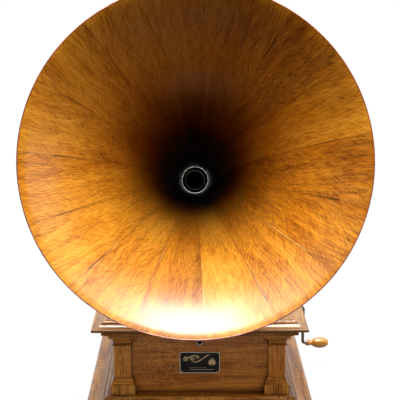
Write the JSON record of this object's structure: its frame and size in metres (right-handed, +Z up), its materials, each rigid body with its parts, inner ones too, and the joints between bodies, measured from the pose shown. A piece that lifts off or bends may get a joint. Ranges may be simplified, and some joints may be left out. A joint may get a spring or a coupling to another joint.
{
  "type": "disc gramophone",
  "caption": "Crank-wound disc gramophone: square oak cabinet with pilasters, turntable on the lid, and a large wooden horn that swivels on a rear bracket.",
  "frame": {"origin": "centre of the cabinet's flat underside, on the surface that it stands on", "axes": "+Z up, -Y towards the listener, where the horn faces; +X is the side with the crank"},
  "size_m": [0.61, 0.7445, 0.8502],
  "materials": {
    "oak_cabinet": "satin",
    "oak_panel": "satin",
    "oak_base": "satin",
    "oak_horn": "gloss",
    "horn_band": "gloss",
    "handle_wood": "gloss",
    "nickel": "polished",
    "dark_nickel": "satin",
    "steel": "satin",
    "brass": "polished",
    "cast_iron": "rough",
    "black_plate": "gloss",
    "felt": "matte",
    "leather": "matte",
    "mica": "clear",
    "rubber": "matte",
    "spring_steel": "satin"
  },
  "bodies": {
    "cabinet": {"bottom_board": "oak_panel", "base_moulding": "oak_base", "front_panel": "oak_panel", "back_panel": "oak_panel", "left_panel": "oak_panel", "right_panel": "oak_panel", "corner_posts": "oak_cabinet", "post_plinths": "oak_cabinet", "post_bases": "oak_cabinet", "post_capitals": "oak_cabinet", "cornice_moulding": "oak_cabinet", "lid_frame": "oak_cabinet", "motor_board": "oak_cabinet", "lid_hinges": "brass", "nameplate": "black_plate", "nameplate_pins": "brass", "lock_escutcheon": "dark_nickel", "crank_escutcheon": "nickel", "horn_bracket": "nickel", "bracket_screws": "nickel", "horn_thumbscrew": "nickel", "arm_pivot_screw": "nickel", "motor_frame": "cast_iron", "motor_base_plate": "cast_iron", "motor_pillars": "steel", "motor_bolts": "nickel", "brake_screw": "nickel"},
    "turntable": {"platter": "nickel", "felt_mat": "felt", "spindle": "steel", "spindle_pinion": "steel", "governor_wheel": "brass"},
    "barrel": {"spring_barrel": "steel", "great_gear": "brass", "mainspring": "spring_steel"},
    "intermediate": {"intermediate_shaft": "steel", "bevel_gear": "brass"},
    "governor": {"governor_spindle": "steel", "governor_weights": "brass", "governor_collars": "brass"},
    "arbor": {"winding_arbor": "steel", "arbor_wheel": "brass"},
    "crank": {"winding_shaft": "steel", "crank_rod": "dark_nickel"},
    "crank_grip": {"crank_handle": "handle_wood", "handle_ferrule": "dark_nickel"},
    "arm": {"tonearm": "nickel"},
    "sound_box": {"gooseneck": "nickel", "sound_box_case": "nickel", "diaphragm_gaskets": "rubber", "diaphragm": "mica", "stylus_bar": "nickel", "needle": "steel"},
    "horn": {"horn_staves": "oak_horn", "horn_rim": "horn_band", "horn_ferrule": "nickel", "horn_elbow": "nickel"},
    "brake": {"brake_lever": "nickel", "brake_pad": "leather"},
    "speed_control": {"speed_knob": "nickel"}
  },
  "joints": [
    {"name": "turntable_spin", "type": "hinge", "parent": "cabinet", "child": "turntable", "pos_m": [0, -0.01, 0.2], "axis": [0, 0, 1], "continuous": true},
    {"name": "barrel_turn", "type": "hinge", "parent": "cabinet", "child": "barrel", "pos_m": [0, 0.04499, 0.10354], "axis": [1, 0, 0], "continuous": true},
    {"name": "intermediate_turn", "type": "hinge", "parent": "cabinet", "child": "intermediate", "pos_m": [-0.04, -0.01, 0.13427], "axis": [1, 0, 0], "continuous": true},
    {"name": "governor_spin", "type": "hinge", "parent": "cabinet", "child": "governor", "pos_m": [0.018, -0.04118, 0.1], "axis": [0, 0, 1], "continuous": true},
    {"name": "crank_turn", "type": "hinge", "parent": "cabinet", "child": "crank", "pos_m": [0.2, 0.075, 0.141], "axis": [1, 0, 0], "continuous": true},
    {"name": "arbor_turn", "type": "hinge", "parent": "cabinet", "child": "arbor", "pos_m": [0, 0.04499, 0.10354], "axis": [1, 0, 0], "continuous": true},
    {"name": "handle_spin", "type": "hinge", "parent": "crank", "child": "crank_grip", "pos_m": [0.26, 0.075, 0.055], "axis": [1, 0, 0], "continuous": true},
    {"name": "tonearm_swing", "type": "hinge", "parent": "cabinet", "child": "arm", "pos_m": [-0.008, 0.261, 0.28], "axis": [0, 0, 1], "range_deg": [-25, 6]},
    {"name": "sound_box_lift", "type": "hinge", "parent": "arm", "child": "sound_box", "pos_m": [0.10722, 0.07486, 0.264], "axis": [-0.7986, -0.6018, 0], "range_deg": [0, 100]},
    {"name": "horn_swivel", "type": "hinge", "parent": "cabinet", "child": "horn", "pos_m": [-0.008, 0.261, 0.33], "axis": [0, 0, 1], "range_deg": [-90, 90]},
    {"name": "brake_swing", "type": "hinge", "parent": "cabinet", "child": "brake", "pos_m": [-0.08106, -0.15156, 0.21], "axis": [0, 0, 1], "range_deg": [0, 20]},
    {"name": "speed_turn", "type": "hinge", "parent": "cabinet", "child": "speed_control", "pos_m": [0.118, -0.14, 0.21], "axis": [0, 0, 1], "range_deg": [-120, 120]}
  ],
  "couplings": [
    {"joint": "intermediate_turn", "follows": "turntable_spin", "ratio": -0.5},
    {"joint": "barrel_turn", "follows": "turntable_spin", "ratio": 0.083333},
    {"joint": "governor_spin", "follows": "turntable_spin", "ratio": -5},
    {"joint": "arbor_turn", "follows": "crank_turn", "ratio": -0.5}
  ]
}
